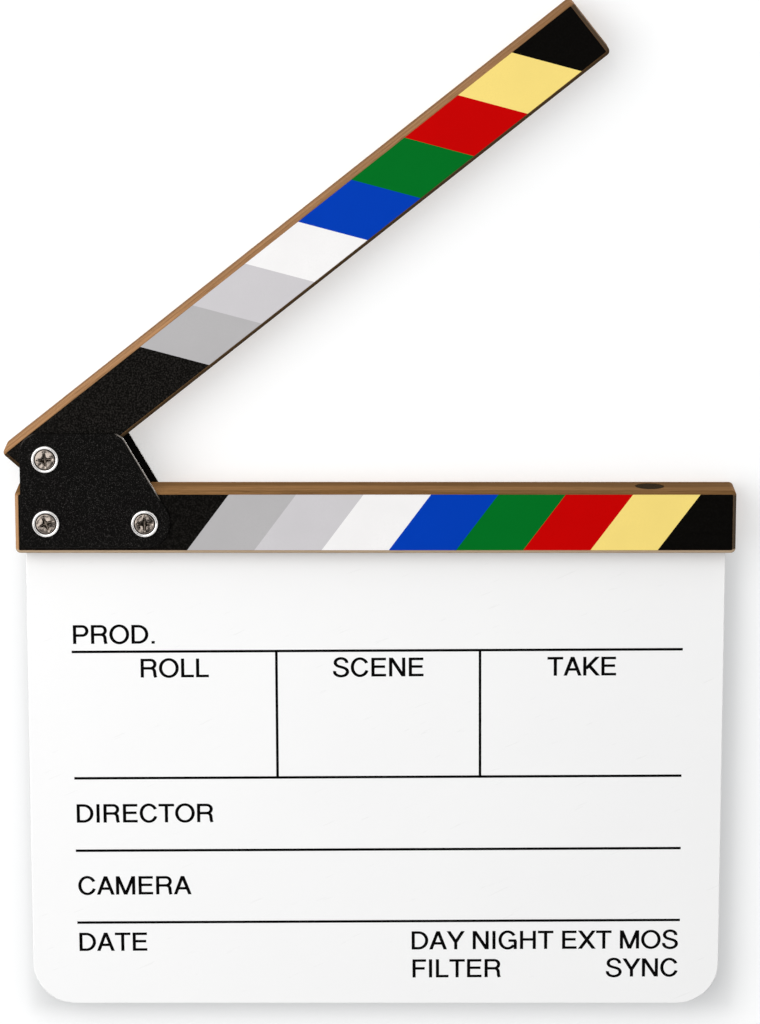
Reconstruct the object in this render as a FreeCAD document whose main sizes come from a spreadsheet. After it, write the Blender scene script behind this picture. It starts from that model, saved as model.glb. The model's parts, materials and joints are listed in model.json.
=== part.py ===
"""Film clapperboard: a white acrylic slate under a pair of striped wooden clapsticks.

The board stands upright in the XZ plane and faces -Y, with +Z up and the hinge at -X. The
origin is the middle of the board's bottom edge. The board's top edge is a tongue in a groove of
the lower stick. Two steel plates clamp the lower stick's hinge end with two bolts, and a third
bolt through both plates is the axle that the upper stick swings on. The upper stick is stored
open, as it is held before a take.

Each stick has a frame of its own: its origin is on the bolt nearest the hinge end, X runs
towards the free tip and Z across the striped face.
"""

import FreeCAD, Part
import math
import os
import Sketcher

# Driving dimensions, in millimetres and degrees.
SIZES = {
    # Clapsticks
    "stick_length": 300.0,      # end to end, both sticks
    "stick_height": 26.6,       # of the striped face
    "stick_thickness": 20.0,    # of the lower stick's wood, front to back
    "stick_corner": 2.0,        # corner radius of the striped face
    "stick_round": 1.5,         # rounding along the wood's edges
    "bolt_inset": 13.0,         # hinge end to the centre of the bolt nearest it
    "heel_slant": 10.0,         # angle at which the upper stick's hinge end is cut back
    "heel_round": 10.0,         # radius of its corner under the bolt
    "arm_clearance": 0.3,       # between the upper stick and each hinge plate
    "closed_gap": 0.6,          # between the two sticks when they are shut
    "open_angle": 38.5,         # of the upper stick as it is stored
    # Coloured film on the sticks
    "film_thickness": 0.2,
    "lower_hinge_band": 80.2,   # hinge end to the first slanted edge, at mid height
    "lower_tip_band": 23.8,     # last slanted edge to the free tip, at mid height
    "upper_hinge_band": 82.2,
    "upper_tip_band": 23.0,
    "stripe_angle": 36.5,       # of the slanted edges, from upright
    # Writing board
    "board_setback": 3.5,       # each end of the lower stick to the board's side edge
    "board_height": 199.7,      # below the lower stick
    "board_thickness": 3.0,
    "board_corner": 18.0,       # radius of the two bottom corners
    "board_edge": 0.4,          # rounding of the cut edges
    "tongue_above_bolts": 5.0,  # tongue's reach above the centres of the fixing bolts
    "groove_clearance": 0.15,   # round the tongue
    # Hinge plates
    "bolt_spacing": 41.0,       # between the two fixing bolts
    "plate_thickness": 1.5,
    "plate_margin": 10.6,       # bolt centres to the plate's edges
    "plate_top_width": 42.0,
    "plate_top_corner": 8.0,
    "plate_low_corner": 5.0,
    "plate_slant_corner": 6.0,
    "plate_edge": 0.3,          # bevel of the outer rim
    # Bolts: a screw in a cup washer at the front, in a flanged sleeve from the rear
    "sleeve_diameter": 6.0,
    "pivot_clearance": 0.05,    # radial, between the axle sleeve and the upper stick
    "hole_clearance": 0.15,     # radial, round the sleeves elsewhere
    "sleeve_setback": 0.3,      # sleeve's front end to the front plate's face
    "flange_diameter": 11.8,
    "flange_height": 1.4,
    "flange_round": 0.7,
    "slot_width": 1.2,
    "slot_depth": 0.7,
    "washer_diameter": 11.8,
    "washer_height": 1.8,
    "washer_floor": 0.5,        # thickness under the screw head
    "washer_round": 1.3,
    "screw_diameter": 4.0,
    "screw_length": 12.0,       # under the head
    "screw_clearance": 0.1,     # radial, round the screw's shank
    "head_diameter": 7.6,
    "head_height": 1.3,
    "head_round": 0.8,
    "head_gap": 0.55,           # radial, between the head and the washer's cup
    "cross_span": 5.6,
    "cross_root": 1.9,          # across the recess between its arms
    "cross_tip": 0.9,           # width of an arm at its end
    "cross_depth": 0.9,
    "pivot_turn": 6.0,          # angle at which each screw came tight
    "left_turn": 24.0,
    "right_turn": 1.0,
    # Disc magnets that hold the sticks shut
    "magnet_diameter": 12.0,
    "magnet_thickness": 4.0,
    "magnet_recess": 0.15,      # below the wood's surface
    "magnet_clearance": 0.05,   # radial
    "magnet_edge": 0.3,         # bevel of both rims
    "magnet_inset": 35.6,       # free tip to the magnet's centre
}

# Sizes that follow from the driving ones.
DERIVED = {
    "half_height": "stick_height / 2",
    "tip_x": "stick_length - bolt_inset",
    "hinge_x": "bolt_inset - stick_length / 2",
    "bolt_z": "board_height + half_height",
    "board_width": "stick_length - 2 * board_setback",
    "pivot_rise": "stick_height + closed_gap",
    "film_low": "stick_round - half_height",
    "film_high": "half_height - stick_round",
    "film_corner": "stick_corner - stick_round",
    "heel_slope": "tan(heel_slant)",
    "film_heel": "heel_round - stick_round",
    "film_setback": "stick_round / cos(heel_slant)",
    "lower_pitch": "(stick_length - lower_hinge_band - lower_tip_band) / 7",
    "upper_pitch": "(stick_length - upper_hinge_band - upper_tip_band) / 7",
    "stripe_lean": "film_high * tan(stripe_angle)",
    "tongue_top": "tongue_above_bolts + groove_clearance",
    "front_inside": "stick_thickness / 2 + film_thickness",
    "rear_inside": "stick_thickness / 2",
    "front_face": "front_inside + plate_thickness",
    "rear_face": "rear_inside + plate_thickness",
    "arm_thickness": "stick_thickness - 2 * arm_clearance",
    "sleeve_hole": "sleeve_diameter / 2 + hole_clearance",
    "pivot_hole": "sleeve_diameter / 2 + pivot_clearance",
    "screw_hole": "screw_diameter / 2 + screw_clearance",
    "cup_radius": "head_diameter / 2 + head_gap",
    "magnet_x": "tip_x - magnet_inset",
    "magnet_hole": "magnet_diameter / 2 + magnet_clearance",
}

COLOURS = ["grey", "silver", "white", "blue", "green", "red", "yellow"]
NEAR = 1e-4

doc = FreeCAD.newDocument("clapperboard")
sheet = doc.addObject("Spreadsheet::Sheet", "Sizes")


def fill_sheet():
    """Write the driving sizes as numbers and the others as formulas, each with its alias."""
    formulas = {name: "=" + formula for name, formula in DERIVED.items()}
    for row, (name, content) in enumerate({**SIZES, **formulas}.items(), start=1):
        sheet.set(f"A{row}", name)
        sheet.set(f"B{row}", str(content))
        sheet.setAlias(f"B{row}", name)
    doc.recompute()


def size(expression):
    """The number that an expression of the sheet's names comes to."""
    return float(sheet.evalExpression(expression))


def bind(item, path, expression):
    """Tie a property to an expression of the sheet's names."""
    words = "".join(c if c.isalnum() or c == "_" else f" {c} " for c in expression).split()
    known = {**SIZES, **DERIVED}
    item.setExpression(path, " ".join("Sizes." + w if w in known else w for w in words))


def new_body(label):
    body = doc.addObject("PartDesign::Body", label)
    body.Label = label
    return body


def new_sketch(body, plane, offset="0"):
    """A sketch on one of the body's origin planes, moved along the plane's normal."""
    sketch = body.newObject("Sketcher::SketchObject", body.Label + "_sketch")
    support = next(f for f in body.Origin.OriginFeatures if f.Role == plane)
    sketch.AttachmentSupport = (support, [""])
    sketch.MapMode = "FlatFace"
    bind(sketch, "AttachmentOffset.Base.z", offset)
    return sketch


def dimension(sketch, kind, place, expression):
    index = sketch.addConstraint(Sketcher.Constraint(kind, *place, size(expression)))
    bind(sketch, f"Constraints[{index}]", expression)


def pin_point(sketch, edge, point, corner):
    """Hold one point of an edge at a corner given as a pair of expressions."""
    dimension(sketch, "DistanceX", (-1, 1, edge, point), corner[0])
    dimension(sketch, "DistanceY", (-1, 1, edge, point), corner[1])


def vector(corner):
    return FreeCAD.Vector(size(corner[0]), size(corner[1]), 0)


def draw_polygon(sketch, corners):
    """A closed outline of straight edges through corners given as pairs of expressions."""
    count = len(corners)
    for i in range(count):
        edge = Part.LineSegment(vector(corners[i]), vector(corners[(i + 1) % count]))
        sketch.addGeometry(edge)
    for i in range(count):
        sketch.addConstraint(Sketcher.Constraint("Coincident", i, 2, (i + 1) % count, 1))
        pin_point(sketch, i, 1, corners[i])
    return sketch


def draw_rectangle(sketch, low, high):
    """A rectangle between two corners given as pairs of expressions."""
    return draw_polygon(sketch, [low, (high[0], low[1]), high, (low[0], high[1])])


def draw_circles(sketch, centres, radius):
    for centre in centres:
        circle = Part.Circle(vector(centre), FreeCAD.Vector(0, 0, 1), size(radius))
        edge = sketch.addGeometry(circle)
        pin_point(sketch, edge, 3, centre)
        dimension(sketch, "Radius", (edge,), radius)
    return sketch


def pad(body, sketch, length, side="One side"):
    feature = body.newObject("PartDesign::Pad", body.Label + "_pad")
    feature.Profile = sketch
    feature.SideType = side
    bind(feature, "Length", length)
    doc.recompute()
    return feature


def pocket(body, sketch, depth=None, reverse=False):
    """Cut a profile to a depth, or right through both ways, and see that wood or metal went."""
    before = body.Shape.Volume
    feature = body.newObject("PartDesign::Pocket", body.Label + "_pocket")
    feature.Profile = sketch
    if depth:
        feature.Reversed = reverse
        bind(feature, "Length", depth)
    else:
        feature.SideType = "Symmetric"
        feature.Type = "ThroughAll"
    doc.recompute()
    if body.Shape.Volume > before - NEAR:
        raise RuntimeError(f"a pocket in {body.Label} cuts nothing")
    return feature


def revolve(body, sketch):
    """Turn a half profile about the sketch's upright axis."""
    feature = body.newObject("PartDesign::Revolution", body.Label + "_turned")
    feature.Profile = sketch
    feature.ReferenceAxis = (sketch, ["V_Axis"])
    doc.recompute()
    return feature


def dress_edges(body, kind, path, amount, chosen):
    """Dress the edges of the body's last feature that a test picks."""
    base = body.Tip
    names = [f"Edge{i}" for i, edge in enumerate(base.Shape.Edges, start=1) if chosen(edge)]
    if not names:
        raise RuntimeError(f"no edge of {body.Label} to dress by {amount}")
    feature = body.newObject("PartDesign::" + kind, f"{body.Label}_{kind.lower()}")
    feature.Base = (base, names)
    bind(feature, path, amount)
    doc.recompute()


def round_edges(body, radius, chosen):
    dress_edges(body, "Fillet", "Radius", radius, chosen)


def bevel_edges(body, width, chosen):
    dress_edges(body, "Chamfer", "Size", width, chosen)


def corner_edge(corner):
    """Picks the straight edge along Y through a corner of the front outline."""
    x, z = size(corner[0]), size(corner[1])

    def chosen(edge):
        return all(abs(v.X - x) < NEAR and abs(v.Z - z) < NEAR for v in edge.Vertexes)
    return chosen


def rim_edge(*depths):
    """Picks the edges that lie wholly in a plane at one of these depths along Y."""
    planes = [size(depth) for depth in depths]

    def chosen(edge):
        low, high = edge.BoundBox.YMin, edge.BoundBox.YMax
        return any(abs(low - y) < NEAR and abs(high - y) < NEAR for y in planes)
    return chosen


def circle_edge(radius, axis, distance):
    """Picks a full circle by its radius and its centre's place along one axis."""
    r, d = size(radius), size(distance)

    def chosen(edge):
        curve = edge.Curve
        round_one = isinstance(curve, Part.Circle) and abs(curve.Radius - r) < NEAR
        return round_one and abs(getattr(curve.Center, axis) - d) < NEAR
    return chosen


def place(body, x, z):
    bind(body, "Placement.Base.x", x)
    bind(body, "Placement.Base.z", z)


def place_on_lower_stick(body):
    place(body, "hinge_x", "bolt_z")


def turn(body, angle):
    """Turn a piece about its own Y axis, the way the upper stick opens."""
    body.Placement = FreeCAD.Placement(FreeCAD.Vector(), FreeCAD.Rotation(FreeCAD.Vector(0, -1, 0), 1))
    bind(body, "Placement.Rotation.Angle", angle)


def place_on_upper_stick(body):
    """Put a piece in the upper stick's frame, swung open about the pivot."""
    turn(body, "open_angle")
    place(body, "hinge_x", "bolt_z + pivot_rise")


def make_board():
    """The acrylic slate: bottom corners rounded, top edge drilled for the fixing bolts."""
    body = new_body("slate_board")
    low, high = ("-board_width / 2", "0"), ("board_width / 2", "bolt_z + tongue_above_bolts")
    sketch = draw_rectangle(new_sketch(body, "XZ_Plane"), low, high)
    pad(body, sketch, "board_thickness", "Symmetric")
    for x in ("-board_width / 2", "board_width / 2"):
        round_edges(body, "board_corner", corner_edge((x, "0")))
    round_edges(body, "board_edge", rim_edge("-board_thickness / 2", "board_thickness / 2"))
    bolts = [("hinge_x", "bolt_z"), ("hinge_x + bolt_spacing", "bolt_z")]
    pocket(body, draw_circles(new_sketch(body, "XZ_Plane"), bolts, "sleeve_hole"))
    return body


def make_stick(label, thickness, slope, heel, bores, bore_radius):
    """A plain wooden stick in its own frame, rounded all round and bored along Y.

    The heel is the corner under the bolt at the hinge end. The end is cut back to it at a slope.
    """
    body = new_body(label)
    heel_corner = (f"stick_height * {slope} - bolt_inset", "-half_height")
    corners = [("tip_x", "-half_height"), ("tip_x", "half_height"), ("-bolt_inset", "half_height")]
    outline = draw_polygon(new_sketch(body, "XZ_Plane"), [heel_corner, *corners])
    pad(body, outline, thickness, "Symmetric")
    round_edges(body, heel, corner_edge(heel_corner))
    for corner in corners:
        round_edges(body, "stick_corner", corner_edge(corner))
    depth = f"{thickness} / 2"
    round_edges(body, "stick_round", rim_edge("-" + depth, depth))
    pocket(body, draw_circles(new_sketch(body, "XZ_Plane"), bores, bore_radius))
    return body


def make_lower_stick():
    """The fixed stick, grooved along its underside for the board."""
    bolts = [("0", "0"), ("bolt_spacing", "0")]
    body = make_stick("lower_stick", "stick_thickness", "0", "stick_corner", bores=bolts,
                      bore_radius="sleeve_hole")
    width = "board_thickness / 2 + groove_clearance"
    groove = new_sketch(body, "YZ_Plane")
    draw_rectangle(groove, (f"-({width})", "-stick_height"), (width, "tongue_top"))
    pocket(body, groove)
    seat = draw_circles(new_sketch(body, "XY_Plane", "half_height"), [("magnet_x", "0")], "magnet_hole")
    pocket(body, seat, "magnet_thickness + magnet_recess")
    place_on_lower_stick(body)
    return body


def make_upper_stick():
    """The swinging stick. Its heel is cut back and rounded, so it clears the lower stick."""
    body = make_stick("upper_stick", "arm_thickness", "heel_slope", "heel_round", bores=[("0", "0")],
                      bore_radius="pivot_hole")
    seat = draw_circles(new_sketch(body, "XY_Plane", "-half_height"), [("magnet_x", "0")], "magnet_hole")
    pocket(body, seat, "magnet_thickness + magnet_recess", reverse=True)
    place_on_upper_stick(body)
    return body


def make_magnet(label, bottom):
    """A disc magnet whose lower face is at a height in its stick's frame."""
    body = new_body(label)
    sketch = draw_circles(new_sketch(body, "XY_Plane", bottom), [("magnet_x", "0")], "magnet_diameter / 2")
    pad(body, sketch, "magnet_thickness")
    for face in (bottom, f"{bottom} + magnet_thickness"):
        bevel_edges(body, "magnet_edge", circle_edge("magnet_diameter / 2", "z", face))
    return body


def slanted_edge(stick, index, lean):
    """Low and high ends of a slanted colour edge, counted from the hinge."""
    middle = f"{stick}_hinge_band - bolt_inset + {index} * {stick}_pitch"
    low = (f"{middle} - {lean} * stripe_lean", "film_low")
    high = (f"{middle} + {lean} * stripe_lean", "film_high")
    return low, high


def make_film(label, outline, depth, corners=(), bores=(), bore_radius="sleeve_hole"):
    """One piece of film on a stick's front, with some corners rounded and bolt holes cut."""
    body = new_body(label)
    pad(body, draw_polygon(new_sketch(body, "XZ_Plane", depth), outline), "film_thickness")
    for corner, radius in corners:
        round_edges(body, radius, corner_edge(corner))
    if bores:
        pocket(body, draw_circles(new_sketch(body, "XZ_Plane"), bores, bore_radius))
    return body


def make_films(stick, lean, depth, end, bores, settle):
    """The black hinge end, the seven colours and the black tip of one stick.

    A lean of 1 slants the colour edges towards the tip going up, and of -1 towards the hinge. The
    end is the hinge end's slope, the film's setback from it and the radius of its heel.
    """
    bodies = []
    slope, setback, heel = end
    tip = "tip_x - stick_round"
    heel_corner, top_corner = [
        (f"(half_height - {z}) * {slope} - bolt_inset + {setback}", z) for z in ("film_low", "film_high")]
    low, high = slanted_edge(stick, 0, lean)
    corners = [(heel_corner, heel), (top_corner, "film_corner")]
    outline = [heel_corner, low, high, top_corner]
    bodies.append(make_film(f"{stick}_black_hinge_film", outline, depth, corners, bores))
    for i, colour in enumerate(COLOURS):
        low, high = slanted_edge(stick, i, lean)
        next_low, next_high = slanted_edge(stick, i + 1, lean)
        bodies.append(make_film(f"{stick}_{colour}_film", [low, next_low, next_high, high], depth))
    low, high = slanted_edge(stick, len(COLOURS), lean)
    corners = [((tip, z), "film_corner") for z in ("film_low", "film_high")]
    outline = [low, (tip, "film_low"), (tip, "film_high"), high]
    bodies.append(make_film(f"{stick}_black_tip_film", outline, depth, corners))
    for body in bodies:
        settle(body)
    return bodies


def make_plate(label, inside, outside):
    """A hinge plate in the lower stick's frame, between two depths ahead of the middle plane.

    Its outline keeps one margin to the bolts, and a slant joins the short top to the round lobe.
    """
    body = new_body(label)
    sketch = new_sketch(body, "XZ_Plane", inside)
    left, top = "-plate_margin", "pivot_rise + plate_margin"
    low_left, top_left = (left, "-plate_margin"), (left, top)
    lobe_centre, lobe_foot = ("bolt_spacing", "0"), ("bolt_spacing", "-plate_margin")
    top_right = ("plate_top_width - plate_margin", top)
    reach = vector(top_right) - vector(lobe_centre)
    radius = size("plate_margin")
    lobe_end = math.atan2(reach.y, reach.x) - math.acos(radius / reach.Length)
    lobe = Part.Circle(vector(lobe_centre), FreeCAD.Vector(0, 0, 1), radius)
    sketch.addGeometry(Part.LineSegment(vector(low_left), vector(lobe_foot)))
    arc = Part.ArcOfCircle(lobe, -math.pi / 2, lobe_end)
    sketch.addGeometry(arc)
    sketch.addGeometry(Part.LineSegment(arc.EndPoint, vector(top_right)))
    sketch.addGeometry(Part.LineSegment(vector(top_right), vector(top_left)))
    sketch.addGeometry(Part.LineSegment(vector(top_left), vector(low_left)))
    for edge, join in enumerate(("Tangent", "Tangent", "Coincident", "Coincident", "Coincident")):
        sketch.addConstraint(Sketcher.Constraint(join, edge, 2, (edge + 1) % 5, 1))
    pin_point(sketch, 0, 1, low_left)
    sketch.addConstraint(Sketcher.Constraint("Horizontal", 0))
    pin_point(sketch, 1, 3, lobe_centre)
    pin_point(sketch, 3, 1, top_right)
    pin_point(sketch, 4, 1, top_left)
    pad(body, sketch, "plate_thickness")
    round_edges(body, "plate_top_corner", corner_edge(top_left))
    round_edges(body, "plate_low_corner", corner_edge(low_left))
    round_edges(body, "plate_slant_corner", corner_edge(top_right))
    bevel_edges(body, "plate_edge", rim_edge(f"-({outside})"))
    bores = [("0", "0"), lobe_centre, ("0", "pivot_rise")]
    pocket(body, draw_circles(new_sketch(body, "XZ_Plane"), bores, "sleeve_hole"))
    place_on_lower_stick(body)
    return body


def make_washer(label):
    """A cup washer on the front plate: a raised ring round a flat floor."""
    body = new_body(label)
    face, brim = "-front_face", "-front_face - washer_height"
    floor = "-front_face - washer_floor"
    outer = "washer_diameter / 2"
    profile = [("screw_hole", face), (outer, face), (outer, brim), ("cup_radius", brim),
               ("cup_radius", floor), ("screw_hole", floor)]
    revolve(body, draw_polygon(new_sketch(body, "XY_Plane"), profile))
    round_edges(body, "washer_round", circle_edge(outer, "y", brim))
    return body


def make_screw(label):
    """A cross-head screw whose head sits on the cup washer's floor."""
    body = new_body(label)
    seat = "-front_face - washer_floor"
    crown = f"{seat} - head_height"
    shank, head = "screw_diameter / 2", "head_diameter / 2"
    profile = [("0", f"{seat} + screw_length"), ("0", crown), (head, crown), (head, seat),
               (shank, seat), (shank, f"{seat} + screw_length")]
    revolve(body, draw_polygon(new_sketch(body, "XY_Plane"), profile))
    round_edges(body, "head_round", circle_edge(head, "y", crown))
    arm, root, half = "cross_span / 2", "cross_root / 2", "cross_tip / 2"
    quarter = [(arm, half), (root, root), (half, arm)]
    cross = quarter + [(f"-{x}", z) for x, z in reversed(quarter)]
    cross += [(f"-{x}", f"-{z}") for x, z in quarter]
    cross += [(x, f"-{z}") for x, z in reversed(quarter)]
    pocket(body, draw_polygon(new_sketch(body, "XZ_Plane", f"-({crown})"), cross), "cross_depth")
    return body


def make_sleeve(label):
    """A flanged sleeve from the rear plate through to the front one, bored for the screw."""
    body = new_body(label)
    back, front = "rear_face + flange_height", "sleeve_setback - front_face"
    bore_end = "screw_length - front_face + sleeve_setback"
    barrel, flange = "sleeve_diameter / 2", "flange_diameter / 2"
    profile = [("0", back), ("0", bore_end), ("screw_hole", bore_end), ("screw_hole", front),
               (barrel, front), (barrel, "rear_face"), (flange, "rear_face"), (flange, back)]
    revolve(body, draw_polygon(new_sketch(body, "XY_Plane"), profile))
    round_edges(body, "flange_round", circle_edge(flange, "y", back))
    slot = new_sketch(body, "XZ_Plane", f"-({back})")
    draw_rectangle(slot, ("-flange_diameter", "-slot_width / 2"), ("flange_diameter", "slot_width / 2"))
    pocket(body, slot, "slot_depth", reverse=True)
    return body


def make_bolts():
    """The axle and the two fixing bolts, each a sleeve, a cup washer and a screw."""
    bodies = []
    places = {"pivot": ("hinge_x", "bolt_z + pivot_rise"), "left": ("hinge_x", "bolt_z"),
              "right": ("hinge_x + bolt_spacing", "bolt_z")}
    for name, (x, z) in places.items():
        bolt = [make_sleeve(f"{name}_sleeve"), make_washer(f"{name}_cup_washer"),
                make_screw(f"{name}_screw")]
        turn(bolt[-1], f"{name}_turn")
        for body in bolt:
            place(body, x, z)
        bodies += bolt
    return bodies


def make_parts():
    lower_magnet = make_magnet("lower_magnet", "half_height - magnet_recess - magnet_thickness")
    place_on_lower_stick(lower_magnet)
    upper_magnet = make_magnet("upper_magnet", "magnet_recess - half_height")
    place_on_upper_stick(upper_magnet)
    fixing_bolts = [("0", "0"), ("bolt_spacing", "0")]
    parts = [make_board(), make_lower_stick(), make_upper_stick(), lower_magnet, upper_magnet]
    parts += make_films("lower", 1, "stick_thickness / 2", ("0", "stick_round", "film_corner"),
                        bores=fixing_bolts, settle=place_on_lower_stick)
    parts += make_films("upper", -1, "arm_thickness / 2", ("heel_slope", "film_setback", "film_heel"),
                        bores=[("0", "0")], settle=place_on_upper_stick)
    parts.append(make_plate("front_hinge_plate", "front_inside", "front_face"))
    parts.append(make_plate("rear_hinge_plate", "-rear_inside - plate_thickness", "-rear_face"))
    return parts + make_bolts()


def check(parts):
    """Stop if any feature failed or any piece isn't one sound solid."""
    failed = [item.Label for item in doc.Objects if {"Invalid", "Error"} & set(item.State)]
    if failed:
        raise RuntimeError(f"failed: {failed}")
    for body in parts:
        shape = body.Shape
        if shape.isNull() or not shape.isValid() or len(shape.Solids) != 1:
            raise RuntimeError(f"{body.Label} is not one valid solid")


fill_sheet()
pieces = make_parts()
doc.recompute()
check(pieces)
os.makedirs("parts", exist_ok=True)
for piece in pieces:
    piece.Shape.exportStep(f"parts/{piece.Label}.step")
print(f"{len(pieces)} pieces")
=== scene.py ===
"""Looks of a film clapperboard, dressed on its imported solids.

Lengths are in metres and in the solids' own frame: the board stands in the XZ plane with its
written face towards -Y, +Z is up and the hinge is at -X. The bolts and the printed form are laid
out in millimetres, and the form's letters in thousandths of their size. Colours are linear.
"""

import json
import math

import bmesh
import bpy
from mathutils import Matrix, Vector


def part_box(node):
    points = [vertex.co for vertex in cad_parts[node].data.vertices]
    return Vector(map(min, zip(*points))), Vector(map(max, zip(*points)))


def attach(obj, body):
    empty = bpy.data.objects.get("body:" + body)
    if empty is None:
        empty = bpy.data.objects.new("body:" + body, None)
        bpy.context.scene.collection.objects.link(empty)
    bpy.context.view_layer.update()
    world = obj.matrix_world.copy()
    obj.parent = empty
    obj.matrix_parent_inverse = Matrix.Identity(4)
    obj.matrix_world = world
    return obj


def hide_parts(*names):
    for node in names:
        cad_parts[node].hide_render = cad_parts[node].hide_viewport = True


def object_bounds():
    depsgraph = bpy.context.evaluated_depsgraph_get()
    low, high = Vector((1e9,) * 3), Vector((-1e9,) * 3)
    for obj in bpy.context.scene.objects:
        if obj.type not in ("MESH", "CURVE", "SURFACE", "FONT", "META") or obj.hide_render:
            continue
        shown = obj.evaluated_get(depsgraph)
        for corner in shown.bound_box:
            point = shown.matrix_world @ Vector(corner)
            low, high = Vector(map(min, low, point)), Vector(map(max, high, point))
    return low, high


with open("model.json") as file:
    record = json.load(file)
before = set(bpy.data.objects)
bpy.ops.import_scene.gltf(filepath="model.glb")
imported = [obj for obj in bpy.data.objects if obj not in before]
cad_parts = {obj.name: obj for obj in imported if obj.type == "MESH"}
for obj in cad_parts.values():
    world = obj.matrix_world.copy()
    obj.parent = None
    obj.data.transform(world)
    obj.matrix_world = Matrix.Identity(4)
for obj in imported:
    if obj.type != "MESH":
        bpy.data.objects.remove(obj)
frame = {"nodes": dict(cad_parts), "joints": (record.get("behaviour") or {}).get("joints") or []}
cad_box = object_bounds()

MM = 0.001
COLOURS = ["grey", "silver", "white", "blue", "green", "red", "yellow"]
BOLTS = ["pivot", "left", "right"]

# Camera, fitted to the outlines of the board and the sticks
CAMERA_PLACE = Vector((0.00335, -1.7128, 0.58767))
CAMERA_PITCH = math.radians(12.267)
CAMERA_LENS = 147.36
CAMERA_SHIFT = -0.0036

# Light
SKY_DIM, SKY_BRIGHT = 0.20, 0.84    # what the white surroundings give to matt surfaces
SKY_TOWARDS = Vector((-0.32, 0.0, 0.95))    # where they are brightest
KEY_PLACE = Vector((-0.75, -1.2, 0.56))
KEY_SIDE = 1.5
KEY_POWER = 18.2
FILL_PLACE = Vector((0.9, 1.6, 0.8))
FILL_SIDE = 1.2
FILL_POWER = 48.0
LAMP_AIM = Vector((0.0, 0.0, 0.2))

# Stage
BACKDROP_GAP = 0.0002       # behind the rearmost bolt
BACKDROP_TOP = 1.6
BACKDROP_FOOT = -0.6
PAPER_WHITE = 0.57
PAPER_GLOW = (0.462, 0.468, 0.471)  # added near the clapperboard, in its shadow too
PAPER_NEAR, PAPER_FAR = 0.30, 0.55  # from the lamps' aim: where the glow starts to rise, and is white
STAGE_REACH = 3.0
FLAG_PLACE = Vector((0.0, -2.4, -0.15))
FLAG_SIZE = (2.0, 1.6)
GAP_CARD_BEHIND = 0.0005    # the board's back
GAP_CARD_LEFT, GAP_CARD_RIGHT, GAP_CARD_BELOW = 0.0045, 0.0035, 0.006   # past the board's edges
CARD_BLACK = (0.01, 0.01, 0.01, 1)
BOARD_CORNER = 0.018

# Sticks: the upper one is stored open, and its places are turned back to lie along the lower one
JOINT = frame["joints"][0]
PIVOT = Vector(JOINT["pos_m"])
STICK_TURNS = {"lower": 0.0, "upper": -math.radians(JOINT["range_deg"][0])}
EDGE_FACING = 0.15          # how far a rounding faces outwards where its own colour is full
TOP_FACING = 0.3            # how far it faces up where a rim ends
RIM_DEPTH, RIM_END = 0.0020, 0.0028     # behind a stick's front, where a rim is full and where it ends

# Hinge plates and sleeves
BEVEL_HIGHLIGHT_DROP = 0.004         # below the lower stick's top, where the painted highlights on the plates' bevels end
BEVEL_HIGHLIGHT_START, BEVEL_HIGHLIGHT_FULL = 0.12, 0.20  # how far a bevel faces aside, times how far it faces up
BEVEL_HIGHLIGHT_SIDE = 0.2           # how far it faces left or right where its share is settled
BEVEL_HIGHLIGHT_LEFT = 0.15          # the share of the painted highlight on those that face left, away from the open arm
SLOT_WALL, SLOT_FLOOR = 0.0004, 0.0006  # below a flange's face, where the painted shade in its slot starts and is full

# Bolts, in millimetres: radii from the axis and heights above the plate's face
RING_POINTS = 96
SHARP_ANGLE = math.radians(35)
CUP_RADIUS = 4.35
CUP_FLOOR = 0.5
CUP_SHADE_START, CUP_SHADE_FULL = 0.08, 0.02  # outside the cup's radius, where the painted shade in the cup starts and is full
BORE_RADIUS = 2.1
CREST_RADIUS = 5.05         # where a washer's brim is highest
BRIM_FOOT = 0.3             # height at which its outer curve starts
BRIM_ROLL = 0.6             # drop of its inner curve
HEAD_RADIUS = 4.08
HEAD_ROUND = 0.3
HEAD_SIDE = 0.08            # inside the head's radius, where the painted shade on its side starts
SEAT_GAP = 0.02             # between a screw's head and its washer
CROWN_HEIGHT = 1.75
SHANK_RADIUS = 2.0
SHANK_FOOT = -2.0
CROSS_REACH, CROSS_ROOT = 3.2, 1.35
CROSS_TAPER = 0.45          # of the recess, from its rim to its floor
CROSS_DEPTH = 1.0
CROSS_EDGE = 0.07           # bevel of its rim
CROSS_TURNS = {"pivot": 6.0, "left": 24.0, "right": 1.0}
RECESS_SHADE_START, RECESS_SHADE_FULL = 0.03, 0.35    # below the crown, where the painted shade in the recess starts and is full
# the share of painted shade at the recess's floor
RECESS_SHADE_SHARE = 0.8

# Colours
PALE_WOOD, DARK_WOOD = (0.352, 0.184, 0.073), (0.105, 0.052, 0.018)
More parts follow.
